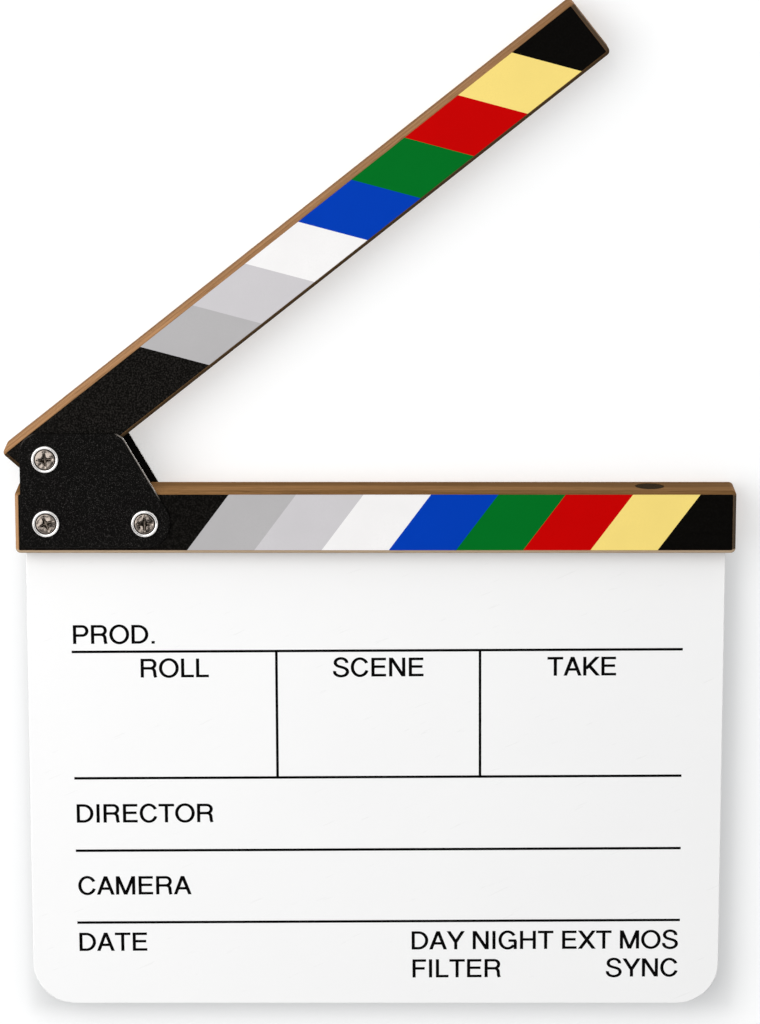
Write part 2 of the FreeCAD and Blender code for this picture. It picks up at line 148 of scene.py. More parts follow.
# multiplied into the upward faces: on the upper stick a painted highlight, its top edge painted as if lit
TOP_EDGE_HIGHLIGHT_GAINS = {"lower": (1.0, 1.0, 1.0), "upper": (1.72, 1.76, 2.1)}
WOOD_FADES = {"lower": 0.0, "upper": 0.85}  # share of the length after which the wood darkens
RIM_TONES_AND_PAINTED_LIGHT = {             # of the roundings at a stick's hinge end, tip and underside, partly painted light and shade
    # lower: hinge end and underside painted pale as painted highlights; tip in the darker tone of end
    # grain
    "lower": [(0.45, 0.255, 0.130), (0.085, 0.062, 0.042), (0.50, 0.37, 0.25)],
    # upper: heel dark brown, tip in the tone of end grain, underside painted dark as painted shade
    "upper": [(0.020, 0.011, 0.005), (0.085, 0.055, 0.034), (0.070, 0.042, 0.020)],
}
FILM_COLOURS = {
    "black": (0.0022, 0.0019, 0.0015),
    "grey": (0.455, 0.445, 0.45),
    "silver": (0.595, 0.578, 0.595),
    "white": (0.885, 0.873, 0.870),
    "blue": (0.0003, 0.045, 0.445),
    "green": (0.0003, 0.155, 0.016),
    "red": (0.545, 0.0003, 0.0003),
    "yellow": (0.915, 0.712, 0.205),
}
FLECK_SHADE = 0.96          # of a coloured film's own colour
TIP_FLECKS = (0.004, 0.0035, 0.003)
BLACK_FLECKS_AND_SHEEN = {            # on the black films at the hinge and the tip; the upper stick's hinge flecks are paler, a painted sheen
    "lower": {"hinge": (0.013, 0.0118, 0.0105), "tip": TIP_FLECKS},
    "upper": {"hinge": (0.023, 0.0208, 0.0187), "tip": TIP_FLECKS},
}
ACRYLIC_COLOURS = [(0.915, 0.915, 0.915), (0.93, 0.93, 0.928)]
COAT_COLOURS = [(0.0008, 0.0007, 0.0006), (0.0040, 0.0036, 0.0032)]
# the second is the painted highlight on the plates' bevels
COAT_SPECKS, COAT_HIGHLIGHT = (0.045, 0.042, 0.040), (0.21, 0.19, 0.17)
SLEEVE_NICKEL = (0.66, 0.65, 0.63)
WASHER_NICKEL = (0.82, 0.80, 0.785)
# darker and browner than the washers' nickel: a painted dark reflection on the screw heads
SCREW_NICKEL_PAINTED_DARK = (0.31, 0.265, 0.23)
# the colour of painted shade in the bolts' cups, recesses and slots
HOLLOW_SHADE_COLOUR = (0.030, 0.022, 0.015)
FERRITE_COLOURS = [(0.010, 0.006, 0.002), (0.034, 0.020, 0.008)]
INK_COLOURS = [(0.0008, 0.0008, 0.0008), (0.0030, 0.0030, 0.0030)]

# Grain and marks: how many a metre along each axis, and how deep
WOOD_BANDS = (2.5, 90, 70)
WOOD_FIBRES = (22, 1100, 1000)
WOOD_PORES = (90, 2400, 2200)
FILM_GRAIN = (20, 900, 900)
WIPE_MARKS, WIPE_TURN = (60, 60, 700), math.radians(24)
FLANGE_MARKS, FLANGE_TURN = (350, 350, 1800), math.radians(35)
FLANGE_DEPTH, LATHE_DEPTH, DRIVER_DEPTH = 0.000005, 0.000003, 0.00028


# Node helpers

def new_material(name, roughness, metallic=0.0, specular=0.5):
    """A material with its node tree and its Principled shader."""
    material = bpy.data.materials.new(name)
    material.use_nodes = True
    tree = material.node_tree
    shader = tree.nodes["Principled BSDF"]
    shader.inputs["Roughness"].default_value = roughness
    shader.inputs["Metallic"].default_value = metallic
    shader.inputs["Specular IOR Level"].default_value = specular
    return material, tree, shader


def add_node(tree, kind, inputs=None, **settings):
    """A node with some settings. An input is a plain value or another node's socket."""
    node = tree.nodes.new(kind)
    for name, value in settings.items():
        setattr(node, name, value)
    for name, value in (inputs or {}).items():
        if isinstance(value, bpy.types.NodeSocket):
            tree.links.new(value, node.inputs[name])
        else:
            node.inputs[name].default_value = value
    return node


def maths(tree, operation, first, second=0.0):
    return add_node(tree, "ShaderNodeMath", {0: first, 1: second}, operation=operation).outputs[0]


def vector_maths(tree, operation, first, second=(0, 0, 0), result="Vector"):
    node = add_node(tree, "ShaderNodeVectorMath", {0: first, 1: second}, operation=operation)
    return node.outputs[result]


def axes_of(tree, vector):
    """A vector's three numbers."""
    return add_node(tree, "ShaderNodeSeparateXYZ", {"Vector": vector}).outputs


def geometry(tree, name):
    return add_node(tree, "ShaderNodeNewGeometry").outputs[name]


def own_place(tree):
    """Places in a piece's own axes, which for a solid are the frame's."""
    return add_node(tree, "ShaderNodeTexCoord").outputs["Object"]


def turn_about_y(tree, vector, angle, centre=(0, 0, 0)):
    inputs = {"Vector": vector, "Center": centre, "Angle": angle}
    return add_node(tree, "ShaderNodeVectorRotate", inputs, rotation_type="Y_AXIS").outputs["Vector"]


def place_in(tree, stretch=(1, 1, 1), turn=0.0):
    """Places in the frame, turned about the pivot and then stretched along each axis."""
    return vector_maths(tree, "MULTIPLY", turn_about_y(tree, own_place(tree), turn, PIVOT), stretch)


def noise(tree, place, scale, detail=4.0, roughness=0.55):
    inputs = {"Vector": place, "Scale": scale, "Detail": detail, "Roughness": roughness}
    return add_node(tree, "ShaderNodeTexNoise", inputs).outputs["Fac"]


def spread(tree, value, low, high, to_low=0.0, to_high=1.0):
    """Carries a value from one range to another and holds it there."""
    inputs = {"Value": value, "From Min": low, "From Max": high, "To Min": to_low, "To Max": to_high}
    return add_node(tree, "ShaderNodeMapRange", inputs).outputs["Result"]


def blend(tree, share, first, second, mode="MIX"):
    """Mixes two colours. Each is a socket or a triple."""
    node = tree.nodes.new("ShaderNodeMix")
    node.data_type = "RGBA"
    node.blend_type = mode
    for index, value in ((0, share), (6, first), (7, second)):
        if isinstance(value, bpy.types.NodeSocket):
            tree.links.new(value, node.inputs[index])
        else:
            node.inputs[index].default_value = value if index == 0 else (*value, 1.0)
    return node.outputs[2]


def add_bump(tree, shader, height, strength, distance):
    inputs = {"Height": height, "Strength": strength, "Distance": distance}
    bump = add_node(tree, "ShaderNodeBump", inputs)
    tree.links.new(bump.outputs["Normal"], shader.inputs["Normal"])


def shade(colour, factor):
    return tuple(channel * factor for channel in colour)


# Wood and film

def stick_facing(tree, turn):
    """How far a surface faces along its stick, and up from it."""
    along, _, up = axes_of(tree, turn_about_y(tree, geometry(tree, "True Normal"), turn))
    return along, up


def edge_rims(tree, turn, front):
    """The front roundings at a stick's hinge end, its tip and its underside, each from 0 to 1. They stop
    at the top edge."""
    along, up = stick_facing(tree, turn)
    depth = axes_of(tree, place_in(tree))["Y"]
    in_front = spread(tree, depth, front + RIM_END, front + RIM_DEPTH)
    near = maths(tree, "MULTIPLY", in_front, spread(tree, up, TOP_FACING, 0.0))
    for way, full in ((along, -EDGE_FACING), (along, EDGE_FACING), (up, -EDGE_FACING)):
        yield maths(tree, "MULTIPLY", near, spread(tree, way, 0.0, full))


def wood(stick, turn):
    """Sealed tan hardwood with its grain along the stick. It is darker towards the tip, the upper stick's
    top edge is painted paler as a painted highlight, and the front roundings carry painted highlights and
    painted shade over the tone of their end grain."""
    material, tree, shader = new_material(f"{stick}_wood", 0.65, specular=0.001)
    low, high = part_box("lower_stick")
    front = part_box(f"{stick}_stick")[0].y
    bands = noise(tree, place_in(tree, WOOD_BANDS, turn), 1.0, 3.0)
    fibres = noise(tree, place_in(tree, WOOD_FIBRES, turn), 1.0, 5.0, 0.65)
    pores = noise(tree, place_in(tree, WOOD_PORES, turn), 1.0, 2.0)
    tone = blend(tree, spread(tree, bands, 0.36, 0.64), shade(PALE_WOOD, 0.45), PALE_WOOD)
    tone = blend(tree, spread(tree, fibres, 0.36, 0.62, 0.65, 0.0), tone, DARK_WOOD)
    tone = blend(tree, spread(tree, pores, 0.58, 0.70, 0.0, 0.6), tone, shade(DARK_WOOD, 0.5))
    along = axes_of(tree, place_in(tree, turn=turn))["X"]
    fade = low.x + (high.x - low.x) * WOOD_FADES[stick]
    tone = blend(tree, spread(tree, along, fade, high.x, 0.0, 0.5), tone, DARK_WOOD)
    _, up = stick_facing(tree, turn)
    # painted highlight: the upper stick's upward faces are made paler, as if lit
    painted_top_light = spread(tree, up, 0.0, EDGE_FACING)
    tone = blend(tree, painted_top_light, tone, TOP_EDGE_HIGHLIGHT_GAINS[stick], "MULTIPLY")
    # painted highlights and painted shade on the front roundings, over their end-grain tone
    for rim, colour in zip(edge_rims(tree, turn, front), RIM_TONES_AND_PAINTED_LIGHT[stick]):
        tone = blend(tree, rim, tone, colour)
    tree.links.new(tone, shader.inputs["Base Color"])
    tree.links.new(spread(tree, fibres, 0.3, 0.7, 0.75, 0.55), shader.inputs["Roughness"])
    add_bump(tree, shader, fibres, 0.35, 0.00015)
    return material


def film(name, colour, flecks, turn):
    """Satin vinyl film with fine flecks, which lets a little of the wood's grain show in its gloss."""
    material, tree, shader = new_material(name, 0.38, specular=0.02)
    clouds = noise(tree, place_in(tree), 60.0, 3.0)
    mottle = noise(tree, place_in(tree), 1500.0, 2.0)
    grain = noise(tree, place_in(tree, FILM_GRAIN, turn), 1.0, 3.0)
    tone = blend(tree, spread(tree, clouds, 0.3, 0.7), shade(colour, 0.95), colour)
    tone = blend(tree, spread(tree, mottle, 0.45, 0.70), tone, flecks)
    tree.links.new(tone, shader.inputs["Base Color"])
    tree.links.new(spread(tree, grain, 0.3, 0.7, 0.32, 0.46), shader.inputs["Roughness"])
    add_bump(tree, shader, grain, 0.10, 0.0001)
    return material


# Board and print

def acrylic():
    """White opal sheet with a fine satin skin and faint wipe marks in its gloss."""
    material, tree, shader = new_material("acrylic", 0.3)
    clouds = noise(tree, place_in(tree), 14.0, 3.0)
    wipes = noise(tree, place_in(tree, WIPE_MARKS, WIPE_TURN), 1.0, 4.0)
    satin = noise(tree, place_in(tree), 3500.0, 1.0)
    tone = blend(tree, spread(tree, clouds, 0.3, 0.7), *ACRYLIC_COLOURS)
    tree.links.new(tone, shader.inputs["Base Color"])
    tree.links.new(spread(tree, wipes, 0.3, 0.7, 0.27, 0.36), shader.inputs["Roughness"])
    add_bump(tree, shader, satin, 0.04, 0.00002)
    return material


def ink():
    """Black screen-printing ink, a little uneven in density."""
    material, tree, shader = new_material("ink", 0.45, specular=0.01)
    density = noise(tree, place_in(tree), 1500.0, 3.0)
    tone = blend(tree, spread(tree, density, 0.35, 0.7), *INK_COLOURS)
    tree.links.new(tone, shader.inputs["Base Color"])
    tree.links.new(spread(tree, density, 0.35, 0.7, 0.4, 0.6), shader.inputs["Roughness"])
    return material


# Plates, bolts and magnets

def bevel_highlights(tree):
    """A painted highlight on the bevels that face up and aside and stand above the lower stick, strongest
    on those that face right.
    """
    across, _, up = axes_of(tree, geometry(tree, "True Normal"))
    slanted = maths(tree, "MULTIPLY", maths(tree, "ABSOLUTE", across), up)
    height = axes_of(tree, place_in(tree))["Z"]
    stick_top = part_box("lower_stick")[1].z
    above = spread(tree, height, stick_top - BEVEL_HIGHLIGHT_DROP, stick_top)
    right_facing = spread(tree, across, -BEVEL_HIGHLIGHT_SIDE, BEVEL_HIGHLIGHT_SIDE, BEVEL_HIGHLIGHT_LEFT, 1.0)
    share = maths(tree, "MULTIPLY", spread(tree, slanted, BEVEL_HIGHLIGHT_START, BEVEL_HIGHLIGHT_FULL), above)
    return maths(tree, "MULTIPLY", share, right_facing)


def powder_coat():
    """Black fine-texture powder coat: a pebbled skin with paler specks, and a painted highlight on its
    bevels.
    """
    material, tree, shader = new_material("powder_coat", 0.55, specular=0.03)
    pebbles = noise(tree, place_in(tree), 1700.0, 3.0, 0.6)
    specks = noise(tree, place_in(tree), 2600.0, 1.0)
    tone = blend(tree, spread(tree, pebbles, 0.35, 0.65), *COAT_COLOURS)
    tone = blend(tree, spread(tree, specks, 0.58, 0.76), tone, COAT_SPECKS)
    tone = blend(tree, bevel_highlights(tree), tone, COAT_HIGHLIGHT)
    tree.links.new(tone, shader.inputs["Base Color"])
    tree.links.new(spread(tree, pebbles, 0.35, 0.65, 0.62, 0.45), shader.inputs["Roughness"])
    add_bump(tree, shader, pebbles, 0.55, 0.00012)
    return material


def nickel(name, colour, marks, marks_depth, hollow_shade):
    """Bright nickel plate with tool marks, darker with painted shade in its hollows: cups, recesses and
    slots.
    """
    material, tree, shader = new_material(name, 0.2, metallic=1.0)
    scuffs = marks(tree)
    tone = blend(tree, spread(tree, scuffs, 0.3, 0.7), shade(colour, 0.9), colour)
    # painted shade in the hollows
    tone = blend(tree, hollow_shade(tree), tone, HOLLOW_SHADE_COLOUR)
    tree.links.new(tone, shader.inputs["Base Color"])
    tree.links.new(spread(tree, scuffs, 0.3, 0.7, 0.16, 0.24), shader.inputs["Roughness"])
    add_bump(tree, shader, scuffs, 1.0, marks_depth)
    return material


def place_on_axis(tree):
    """Distance from a turned piece's axis and height above the plate, from the piece's own places."""
    place = own_place(tree)
    flat = vector_maths(tree, "MULTIPLY", place, (1, 0, 1))
    radius = vector_maths(tree, "LENGTH", flat, result="Value")
    return radius, maths(tree, "MULTIPLY", axes_of(tree, place)["Y"], -1.0)


def lathe_marks(tree):
    radius, _ = place_on_axis(tree)
    rings = add_node(tree, "ShaderNodeCombineXYZ", {"X": radius}).outputs["Vector"]
    return noise(tree, rings, 5000.0, 2.0)


def driver_marks(tree):
    return noise(tree, geometry(tree, "Position"), 360.0, 1.0)


def flange_marks(tree):
    return noise(tree, place_in(tree, FLANGE_MARKS, FLANGE_TURN), 1.0, 2.0)


def cup_painted_shade(tree):
    """Painted shade inside a washer's cup."""
    radius, _ = place_on_axis(tree)
    return spread(tree, radius, (CUP_RADIUS + CUP_SHADE_START) * MM, (CUP_RADIUS + CUP_SHADE_FULL) * MM)


def recess_painted_shade(tree):
    """Painted shade in the depth of a screw's cross recess, and on the head's side."""
    radius, height = place_on_axis(tree)
    start, full = (CROWN_HEIGHT - RECESS_SHADE_START) * MM, (CROWN_HEIGHT - RECESS_SHADE_FULL) * MM
    deep = spread(tree, height, start, full, 0.0, RECESS_SHADE_SHARE)
    side = spread(tree, radius, (HEAD_RADIUS - HEAD_SIDE) * MM, HEAD_RADIUS * MM)
    return maths(tree, "MAXIMUM", deep, side)


def slot_painted_shade(tree):
    """Painted shade on the floors of the slots in the sleeves' flanges, at the rear."""
    depth = axes_of(tree, place_in(tree))["Y"]
    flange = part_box("pivot_sleeve")[1].y
    return spread(tree, depth, flange - SLOT_WALL, flange - SLOT_FLOOR)


def ferrite():
    """Dark pressed magnet with a grainy, ground face."""
    material, tree, shader = new_material("ferrite", 0.7, specular=0.001)
    grains = noise(tree, place_in(tree), 4000.0, 3.0)
    tone = blend(tree, spread(tree, grains, 0.35, 0.65), *FERRITE_COLOURS)
    tree.links.new(tone, shader.inputs["Base Color"])
    tree.links.new(spread(tree, grains, 0.35, 0.65, 0.5, 0.75), shader.inputs["Roughness"])
    add_bump(tree, shader, grains, 0.25, 0.0001)
    return material


def dress_solids():
    """Give the solids their materials; the cup washers and screws get theirs on the turned pieces that
    replace them. The upper stick's grain is turned with it.
    """
    materials = {"slate_board": acrylic()}
    coat, magnet = powder_coat(), ferrite()
    sleeve_metal = nickel("sleeve_nickel", SLEEVE_NICKEL, flange_marks, FLANGE_DEPTH, slot_painted_shade)
    for plate in ("front_hinge_plate", "rear_hinge_plate"):
        materials[plate] = coat
    for bolt in BOLTS:
        materials[f"{bolt}_sleeve"] = sleeve_metal
    for stick, turn in STICK_TURNS.items():
        materials[f"{stick}_stick"] = wood(stick, turn)
        materials[f"{stick}_magnet"] = magnet
        for end, flecks in BLACK_FLECKS_AND_SHEEN[stick].items():
            name = f"{stick}_black_{end}_film"
            materials[name] = film(name, FILM_COLOURS["black"], flecks, turn)
        for colour in COLOURS:
            name = f"{stick}_{colour}_film"
            tone = FILM_COLOURS[colour]
            materials[name] = film(name, tone, shade(tone, FLECK_SHADE), turn)
    for node, material in materials.items():
        frame["nodes"][node].material_slots[0].material = material


# Turned bolts

ARC_STEP = 7.5              # degrees, on the bolts and in the letters


def arc(x, z, reach, rise, start, end):
    """Points of an elliptical arc, from one angle to another in degrees."""
    steps = max(2, round(abs(end - start) / ARC_STEP))
    angles = [math.radians(start + (end - start) * i / steps) for i in range(steps + 1)]
    return [(x + reach * math.cos(a), z + rise * math.sin(a)) for a in angles]


def cross(scale):
    """Radii round a cross recess: four arms that narrow to their tips."""
    radii = []
    for k in range(RING_POINTS):
        arm = math.cos(2 * (2 * math.pi * k / RING_POINTS)) ** 4
        radii.append(scale * (CROSS_ROOT + (CROSS_REACH - CROSS_ROOT) * arm))
    return radii


def turn_piece(node, rings, closed, material, start=0.0):
    """A piece turned about a bolt's axis, in place of its plain solid. A ring is a radius, or one for each
    of its points from a start in degrees, and a height."""
    low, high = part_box(node)
    build = bmesh.new()
    angles = [math.radians(start) + 2 * math.pi * k / RING_POINTS for k in range(RING_POINTS)]
    loops = []
    for radii, height in rings:
        radii = radii if isinstance(radii, list) else [radii] * RING_POINTS
        loops.append([build.verts.new((r * math.cos(a) * MM, -height * MM, r * math.sin(a) * MM))
                      for r, a in zip(radii, angles)])
    following = loops[1:] + loops[:1] if closed else loops[1:]
    for ring, after in zip(loops, following):
        for k in range(RING_POINTS):
            build.faces.new((ring[k - 1], ring[k], after[k], after[k - 1]))
    if not closed:
        build.faces.new(loops[0])
        build.faces.new(loops[-1])
    bmesh.ops.recalc_face_normals(build, faces=build.faces)
    mesh = bpy.data.meshes.new("turned_" + node)
    build.to_mesh(mesh)
    build.free()
    mesh.shade_smooth()
    mesh.set_sharp_from_angle(angle=SHARP_ANGLE)
    mesh.materials.append(material)
    piece = bpy.data.objects.new("turned_" + node, mesh)
    piece.location = ((low.x + high.x) / 2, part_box("front_hinge_plate")[0].y, (low.z + high.z) / 2)
    bpy.context.scene.collection.objects.link(piece)
    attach(piece, "slate")
    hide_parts(node)


def washer_rings(node):
    """A cup washer's section: a bored floor and a brim that rolls over to the cup."""
    low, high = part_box(node)
    rim = (high.x - low.x) / 2 / MM
    crest = (high.y - low.y) / MM
    outer = arc(CREST_RADIUS, BRIM_FOOT, rim - CREST_RADIUS, crest - BRIM_FOOT, 0, 90)
    inner = arc(CREST_RADIUS, crest - BRIM_ROLL, CREST_RADIUS - CUP_RADIUS, BRIM_ROLL, 90, 180)
    foot = [(BORE_RADIUS, CUP_FLOOR), (BORE_RADIUS, 0), (rim, 0)]
    return foot + outer + inner[1:] + [(CUP_RADIUS, CUP_FLOOR)]


def screw_rings():
    """A screw's section: a stub of its shank, a head and a cross recess that narrows to its floor."""
    seat = CUP_FLOOR + SEAT_GAP
    shank = [(SHANK_RADIUS, SHANK_FOOT), (SHANK_RADIUS, seat)]
    flat, side = HEAD_RADIUS - HEAD_ROUND, CROWN_HEIGHT - HEAD_ROUND
    head = [(HEAD_RADIUS, seat)] + arc(flat, side, HEAD_ROUND, HEAD_ROUND, 0, 90)
    recess = [(cross(1.0), CROWN_HEIGHT), (cross(1.0 - CROSS_EDGE / 2), CROWN_HEIGHT - CROSS_EDGE),
              (cross(CROSS_TAPER), CROWN_HEIGHT - CROSS_DEPTH)]
    return shank + head + recess


def add_bolts():
    washer = nickel("washer_nickel", WASHER_NICKEL, lathe_marks, LATHE_DEPTH, cup_painted_shade)
    screw = nickel("screw_nickel", SCREW_NICKEL_PAINTED_DARK, driver_marks, DRIVER_DEPTH, recess_painted_shade)
    for bolt in BOLTS:
        turn_piece(f"{bolt}_cup_washer", washer_rings(f"{bolt}_cup_washer"), True, washer)
        turn_piece(f"{bolt}_screw", screw_rings(), False, screw, CROSS_TURNS[bolt])


# Lettering: strokes of a plain grotesque alphabet, in thousandths of the letter size

CAP_HEIGHT = 718
UPRIGHT = 60                # half the width of an upright stroke
LEVEL = 50                  # half the thickness of a level stroke
TOP_BAR = CAP_HEIGHT - LEVEL
MIDDLE = CAP_HEIGHT / 2
ROUND_REACH = 328           # from the middle to a round letter's centreline, which overshoots a little


def post(x, low=0, high=CAP_HEIGHT):
    return [((x - UPRIGHT, low), (x + UPRIGHT, low)), ((x - UPRIGHT, high), (x + UPRIGHT, high))]


def bar(z, left, right):
    return [((left, z - LEVEL), (left, z + LEVEL)), ((right, z - LEVEL), (right, z + LEVEL))]


def slant(start, end):
    """A straight stroke between two heights, cut level at both."""
    (x0, z0), (x1, z1) = start, end
    half = UPRIGHT * math.hypot(x1 - x0, z1 - z0) / abs(z1 - z0)
    return [((x0 - half, z0), (x0 + half, z0)), ((x1 - half, z1), (x1 + half, z1))]


def sweep(points, closed=False):
    """Drag an oval pen along a path: pairs of points on the stroke's two sides."""
    count = len(points)
    pairs = []
    for i, (x, z) in enumerate(points):
        before = points[i - 1] if closed or i > 0 else points[i]
        after = points[(i + 1) % count] if closed or i < count - 1 else points[i]
        dx, dz = (after[0] - before[0]) / UPRIGHT, (after[1] - before[1]) / LEVEL
        length = math.hypot(dx, dz)
        side_x, side_z = -dz / length * UPRIGHT, dx / length * LEVEL
        pairs.append(((x + side_x, z + side_z), (x - side_x, z - side_z)))
    return pairs + pairs[:1] if closed else pairs


def bowl(stem, x, low, high, reach):
    """A round stroke that leaves a stem at one height and comes back to it at another."""
    curve = arc(x, (low + high) / 2, reach, (high - low) / 2, 90, -90)
    return sweep([(stem, high), *curve, (stem, low)])


def round_stroke(x, reach, start, end):
    return sweep(arc(x, MIDDLE, reach, ROUND_REACH, start, end))


def make_glyphs():
    """Each letter's advance and strokes."""
    top = CAP_HEIGHT
    ring = arc(388, MIDDLE, 308, ROUND_REACH, 0, 360)[:-1]
    snake = arc(333, 540, 213, 159, -6, 250) + arc(333, 187, 240, 168, 70, -190)
    leg = arc(430, 218, 148, 134, 90, 5) + [(590, 80), (618, 0)]
    return {
        "A": (667, [slant((64, 0), (334, top)), slant((606, 0), (336, top)), bar(238, 150, 520)]),
        "C": (722, [round_stroke(369, 282, 28, 338)]),
        "D": (722, [post(122), bowl(122, 322, LEVEL, TOP_BAR, 306)]),
        "E": (667, [post(129), bar(TOP_BAR, 129, 612), bar(376, 129, 578), bar(LEVEL, 129, 617)]),
        "F": (611, [post(129), bar(TOP_BAR, 129, 583), bar(360, 129, 530)]),
        "G": (778, [round_stroke(376, 285, 32, 322), bar(335, 405, 700), post(662, 0, 335)]),
        "H": (722, [post(122), post(600), bar(378, 122, 600)]),
        "I": (278, [post(139)]),
        "K": (667, [post(122), slant((150, 245), (592, top)), slant((283, 385), (612, 0))]),
        "L": (556, [post(122), bar(LEVEL, 122, 537)]),
        "M": (833, [post(115), post(719), slant((125, top), (417, 0)), slant((709, top), (417, 0))]),
        "N": (722, [post(119), post(603), slant((130, top), (592, 0))]),
        "O": (778, [sweep(ring, closed=True)]),
        "P": (667, [post(122), bowl(122, 405, 322, TOP_BAR, 175)]),
        "R": (722, [post(122), bowl(122, 430, 352, TOP_BAR, 165), sweep(leg)]),
        "S": (667, [sweep(snake)]),
        "T": (611, [post(306), bar(TOP_BAR, 14, 598)]),
        "X": (667, [slant((70, 0), (597, top)), slant((597, 0), (70, top))]),
        "Y": (667, [slant((333, 285), (62, top)), slant((333, 285), (605, top)), post(333, 0, 330)]),
        ".": (278, [post(139, 0, 100)]),
        " ": (245, []),
    }


GLYPHS = make_glyphs()

# Printed form, in millimetres: x from its middle, heights above the board's bottom edge
LETTER_SIZE = 11.35
INK_THICKNESS = 0.03
INK_STEP = 0.001            # between strokes that cross, so that no two faces lie in one plane
INK_LAYERS = 4
RULE_THICKNESS = 1.1
FORM_PLACE = (0.9, 96.0)    # its middle on the board
FORM_TILT = math.radians(0.265)
FORM_WIDTH = 257.2
FORM_TOP = 155.9            # the first rule
BOX_HEIGHT = 55.2           # from the first rule to the second
ROW_HEIGHT = 31.95          # from the second to the third, and on to the fourth
ROWS_TOP = FORM_TOP - BOX_HEIGHT
RULES = [FORM_TOP, ROWS_TOP, ROWS_TOP - ROW_HEIGHT, ROWS_TOP - 2 * ROW_HEIGHT]
LEFT_EDGE, RIGHT_EDGE = -FORM_WIDTH / 2, FORM_WIDTH / 2
COLUMN = FORM_WIDTH / 3
RIGHT_BLOCK = 14.4
INDENT = 0.7
ASIDE = 0.4                 # of the columns' words and posts, to the right of the middle
ROW_RISE = 12.4             # from a row's lower rule up to its baseline
TITLE_LINE = RULES[0] + 3.45    # baselines of the other lines
BOX_LINE = RULES[0] - 11.25
DATE_LINE = RULES[3] - 12.7
LAST_LINE = DATE_LINE - 12.55
WORDS = [
    ("PROD.", LEFT_EDGE + INDENT, TITLE_LINE, "left"),
    ("ROLL", ASIDE - COLUMN, BOX_LINE, "middle"),
    ("SCENE", ASIDE, BOX_LINE, "middle"),
    ("TAKE", ASIDE + COLUMN, BOX_LINE, "middle"),
    ("DIRECTOR", LEFT_EDGE + INDENT, RULES[2] + ROW_RISE, "left"),
    ("CAMERA", LEFT_EDGE + INDENT, RULES[3] + ROW_RISE, "left"),
    ("DATE", LEFT_EDGE + INDENT, DATE_LINE, "left"),
    ("DAY NIGHT EXT MOS", RIGHT_EDGE - INDENT, DATE_LINE, "right"),
    ("FILTER", RIGHT_BLOCK, LAST_LINE, "left"),
    ("SYNC", RIGHT_EDGE - INDENT, LAST_LINE, "right"),
]


def word_strokes(text):
    """The strokes of a word along one baseline."""
    strokes, pen = [], 0
    for letter in text:
        advance, shapes = GLYPHS[letter]
        for pairs in shapes:
            strokes.append([tuple((x + pen, z) for x, z in pair) for pair in pairs])
        pen += advance
    return strokes


def set_word(text, x, baseline, anchor):
    """A word's strokes on the form, in millimetres, held by its left end, middle or right end."""
    scale = LETTER_SIZE / 1000
    strokes = word_strokes(text)
    ends = [point[0] for pairs in strokes for pair in pairs for point in pair]
    held = {"left": min(ends), "middle": (min(ends) + max(ends)) / 2, "right": max(ends)}[anchor]
    return [[tuple((x + (u - held) * scale, baseline + w * scale) for u, w in pair) for pair in pairs]
            for pairs in strokes]


def rule_strokes():
    """The form's four level rules, and the two posts between the first and the second."""
    half = RULE_THICKNESS / 2
    strokes = [[((x, z - half), (x, z + half)) for x in (LEFT_EDGE, RIGHT_EDGE)] for z in RULES]
    for x in (ASIDE - COLUMN / 2, ASIDE + COLUMN / 2):
        strokes.append([((x - half, z), (x + half, z)) for z in (RULES[1], RULES[0])])
    return strokes


def add_stroke(mesh, pairs, height):
    """One closed slab of ink along the pairs, standing on the board towards -Y."""
    closed = pairs[0] == pairs[-1]
    rings = []
    for left, right in pairs[:-1] if closed else pairs:
        corners = [(*left, 0), (*left, -height), (*right, -height), (*right, 0)]
        rings.append([mesh.verts.new((x, y, z)) for x, z, y in corners])
    count = len(rings)
    for i in range(count if closed else count - 1):
        ring, after = rings[i], rings[(i + 1) % count]
        for k in range(4):
            mesh.faces.new((ring[k], ring[(k + 1) % 4], after[(k + 1) % 4], after[k]))
    if not closed:
        mesh.faces.new(rings[0])
        mesh.faces.new(reversed(rings[-1]))


def print_strokes(name, strokes, material):
    """Ink strokes as one piece on the board's face."""
    build = bmesh.new()
    for index, pairs in enumerate(strokes):
        add_stroke(build, pairs, INK_THICKNESS + INK_STEP * (index % INK_LAYERS))
    bmesh.ops.recalc_face_normals(build, faces=build.faces)
    tilt = Matrix.Rotation(-FORM_TILT, 4, "Y")
    middle = Matrix.Translation((0, 0, -FORM_PLACE[1]))
    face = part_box("slate_board")[0].y / MM
    onto_board = Matrix.Translation((FORM_PLACE[0], face, FORM_PLACE[1]))
    build.transform(Matrix.Scale(MM, 4) @ onto_board @ tilt @ middle)
    mesh = bpy.data.meshes.new(name)
    build.to_mesh(mesh)
    build.free()
    mesh.materials.append(material)
    piece = bpy.data.objects.new(name, mesh)
    bpy.context.scene.collection.objects.link(piece)
    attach(piece, "slate")


def print_form():
    black = ink()
    print_strokes("printed_rules", rule_strokes(), black)
    for text, x, baseline, anchor in WORDS:
        name = "printed_" + text.lower().replace(" ", "_").strip(".")
        print_strokes(name, set_word(text, x, baseline, anchor), black)


# Stage, light and camera

def add_sheet(name, profile, reach, material):
    """A stage surface: a profile of (y, z) points drawn along X. It faces +Z or -Y on the paths used
    here."""
    mesh = bpy.data.meshes.new(name)
    points = [(x, y, z) for y, z in profile for x in (-reach, reach)]
    faces = [(2 * i, 2 * i + 2, 2 * i + 3, 2 * i + 1) for i in range(len(profile) - 1)]
    mesh.from_pydata(points, [], faces)
    mesh.materials.append(material)
    sheet = bpy.data.objects.new(name, mesh)
    bpy.context.scene.collection.objects.link(sheet)
    return sheet


